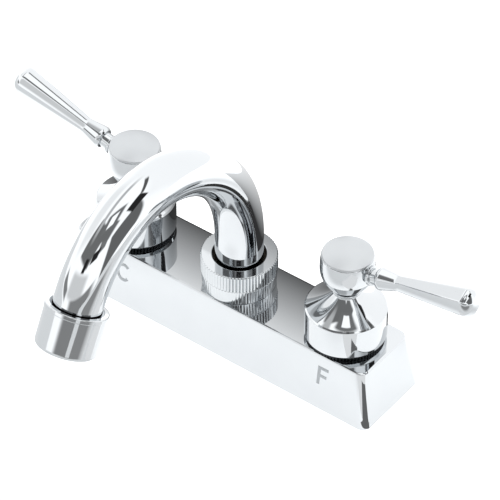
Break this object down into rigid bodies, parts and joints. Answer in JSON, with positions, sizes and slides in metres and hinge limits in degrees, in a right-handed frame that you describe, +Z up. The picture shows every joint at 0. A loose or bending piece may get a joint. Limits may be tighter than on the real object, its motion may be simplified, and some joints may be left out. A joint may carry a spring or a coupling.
{
  "type": "centerset bathroom faucet",
  "caption": "Deck-mounted centerset faucet with two lever handles on cone bonnets, a high round swing spout, knurled collar and one long sloping base cover.",
  "frame": {"origin": "middle of the underside, on the deck's top face, midway between the two handle axes", "axes": "+X from the left handle to the right one, -Y towards the user and the spout's outlet, +Z up out of the deck"},
  "size_m": [0.2172, 0.1331, 0.1636],
  "materials": {
    "chrome_plate": "polished",
    "chrome_cap": "polished",
    "chrome_tube": "polished",
    "chrome_knurl": "knurled, polished",
    "rough_brass": "as cast and machined",
    "turned_brass": "turned",
    "zinc_steel": "zinc plated",
    "stainless_steel": "bright",
    "black_rubber": "matt",
    "white_ceramic": "lapped",
    "white_plastic": "satin",
    "grey_plastic": "satin"
  },
  "bodies": {
    "fixed_body": {"base_cover": "chrome_plate", "base_gasket": "black_rubber", "waterway_body": "rough_brass", "mounting_washers": "zinc_steel", "mounting_nuts": "rough_brass", "spout_nut": "chrome_knurl", "left_bonnet_ring": "chrome_knurl", "left_bonnet": "chrome_plate", "left_cartridge_body": "turned_brass", "left_seat_gasket": "black_rubber", "left_fixed_disc": "white_ceramic", "right_bonnet_ring": "chrome_knurl", "right_bonnet": "chrome_plate", "right_cartridge_body": "turned_brass", "right_seat_gasket": "black_rubber", "right_fixed_disc": "white_ceramic"},
    "left_handle": {"left_moving_disc": "white_ceramic", "left_cartridge_stem": "turned_brass", "left_stem_ring": "black_rubber", "left_handle_hub": "chrome_plate", "left_handle_cap": "chrome_cap", "left_handle_screw": "stainless_steel", "left_lever": "chrome_plate"},
    "right_handle": {"right_moving_disc": "white_ceramic", "right_cartridge_stem": "turned_brass", "right_stem_ring": "black_rubber", "right_handle_hub": "chrome_plate", "right_handle_cap": "chrome_cap", "right_handle_screw": "stainless_steel", "right_lever": "chrome_plate"},
    "spout": {"spout_tube": "chrome_tube", "spout_tail": "turned_brass", "spout_seal_rings": "black_rubber", "spout_glide_ring": "white_plastic", "outlet_nipple": "turned_brass", "aerator_housing": "chrome_plate", "aerator_washer": "black_rubber", "aerator_insert": "grey_plastic"}
  },
  "joints": [
    {"name": "left_handle_turn", "type": "hinge", "parent": "fixed_body", "child": "left_handle", "pos_m": [-0.0508, 0, 0.04], "axis": [0, 0, 1], "range_deg": [0, 90]},
    {"name": "right_handle_turn", "type": "hinge", "parent": "fixed_body", "child": "right_handle", "pos_m": [0.0508, 0, 0.04], "axis": [0, 0, 1], "range_deg": [-90, 0]},
    {"name": "spout_swivel", "type": "hinge", "parent": "fixed_body", "child": "spout", "pos_m": [0, 0, 0.036], "axis": [0, 0, 1], "range_deg": [-35, 35]}
  ]
}
